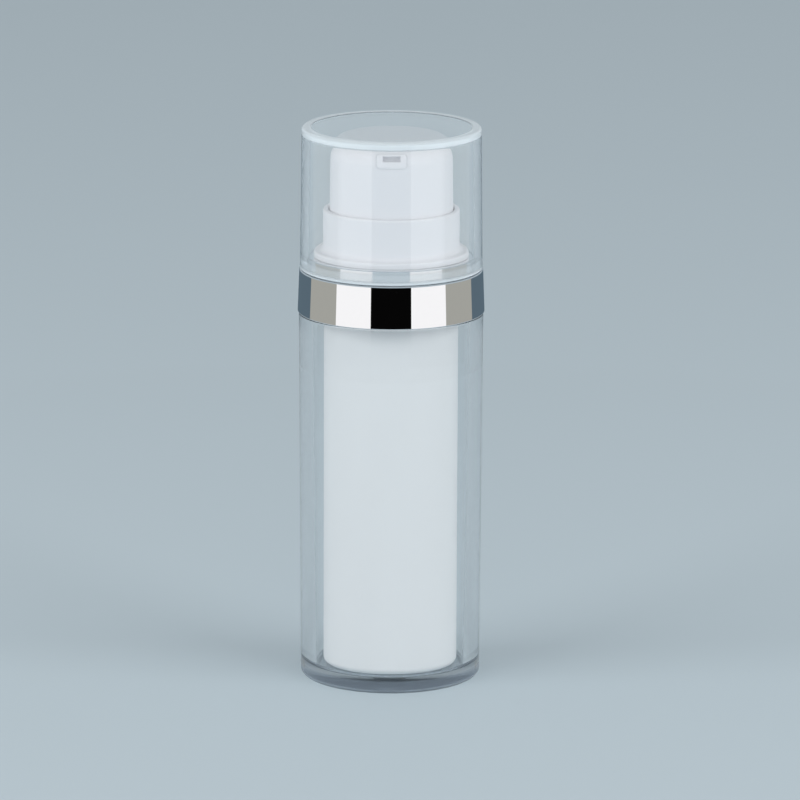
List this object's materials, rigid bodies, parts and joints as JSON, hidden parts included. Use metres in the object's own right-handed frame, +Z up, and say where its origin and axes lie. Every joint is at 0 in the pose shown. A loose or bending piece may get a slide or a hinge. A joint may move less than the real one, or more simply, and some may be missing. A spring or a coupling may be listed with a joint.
{
  "type": "airless pump bottle",
  "caption": "Slim clear double-wall airless bottle with a white inner bottle, a mirror-finish collar, a press-down piston pump and a clear lift-off overcap.",
  "frame": {"origin": "centre of the base, on the plane that the bottle stands on", "axes": "+Z up along the bottle's axis to the top of the overcap; the nozzle faces -Y"},
  "size_m": [0.04, 0.04, 0.12],
  "materials": {
    "clear_shell": "clear hard plastic, polished",
    "clear_cap": "clear hard plastic, polished",
    "white_inner": "white polypropylene, satin gloss",
    "white_plastic": "white polypropylene, satin gloss",
    "natural_plastic": "natural translucent polyethylene or polypropylene",
    "mirror_silver": "vacuum-metallised, mirror polish",
    "gasket_rubber": "soft elastomer",
    "spring_steel": "stainless wire and ball"
  },
  "bodies": {
    "bottle": {"outer_bottle": "clear_shell", "inner_bottle": "white_inner", "collar_ring": "mirror_silver", "collar_liner": "white_plastic", "closure": "white_plastic", "neck_gasket": "gasket_rubber", "pump_housing": "natural_plastic", "lock_ring": "natural_plastic", "ball_cage": "natural_plastic", "return_spring": "spring_steel"},
    "cap": {"overcap": "clear_cap"},
    "follower": {"follower_piston": "natural_plastic"},
    "pump_rod": {"stem": "natural_plastic", "stem_tip": "natural_plastic"},
    "pump_head": {"actuator": "white_plastic", "nozzle_insert": "white_plastic"},
    "piston": {"pump_piston": "white_plastic"},
    "ball": {"inlet_ball": "spring_steel"}
  },
  "joints": [
    {"name": "cap_lift", "type": "slide", "parent": "bottle", "child": "cap", "axis": [0, 0, 1], "range_m": [0, 0.045]},
    {"name": "pump_press", "type": "slide", "parent": "bottle", "child": "pump_rod", "axis": [0, 0, -1], "range_m": [0, 0.005], "stiffness_N_per_m": 1200, "deforming": ["return_spring"]},
    {"name": "actuator_turn", "type": "hinge", "parent": "pump_rod", "child": "pump_head", "pos_m": [0, 0, 0.1], "axis": [0, 0, 1], "continuous": true},
    {"name": "piston_slip", "type": "slide", "parent": "pump_rod", "child": "piston", "axis": [0, 0, 1], "range_m": [0, 0.0008]},
    {"name": "ball_lift", "type": "slide", "parent": "bottle", "child": "ball", "axis": [0, 0, 1], "range_m": [0, 0.001]},
    {"name": "follower_rise", "type": "slide", "parent": "bottle", "child": "follower", "axis": [0, 0, 1], "range_m": [0, 0.061]}
  ]
}
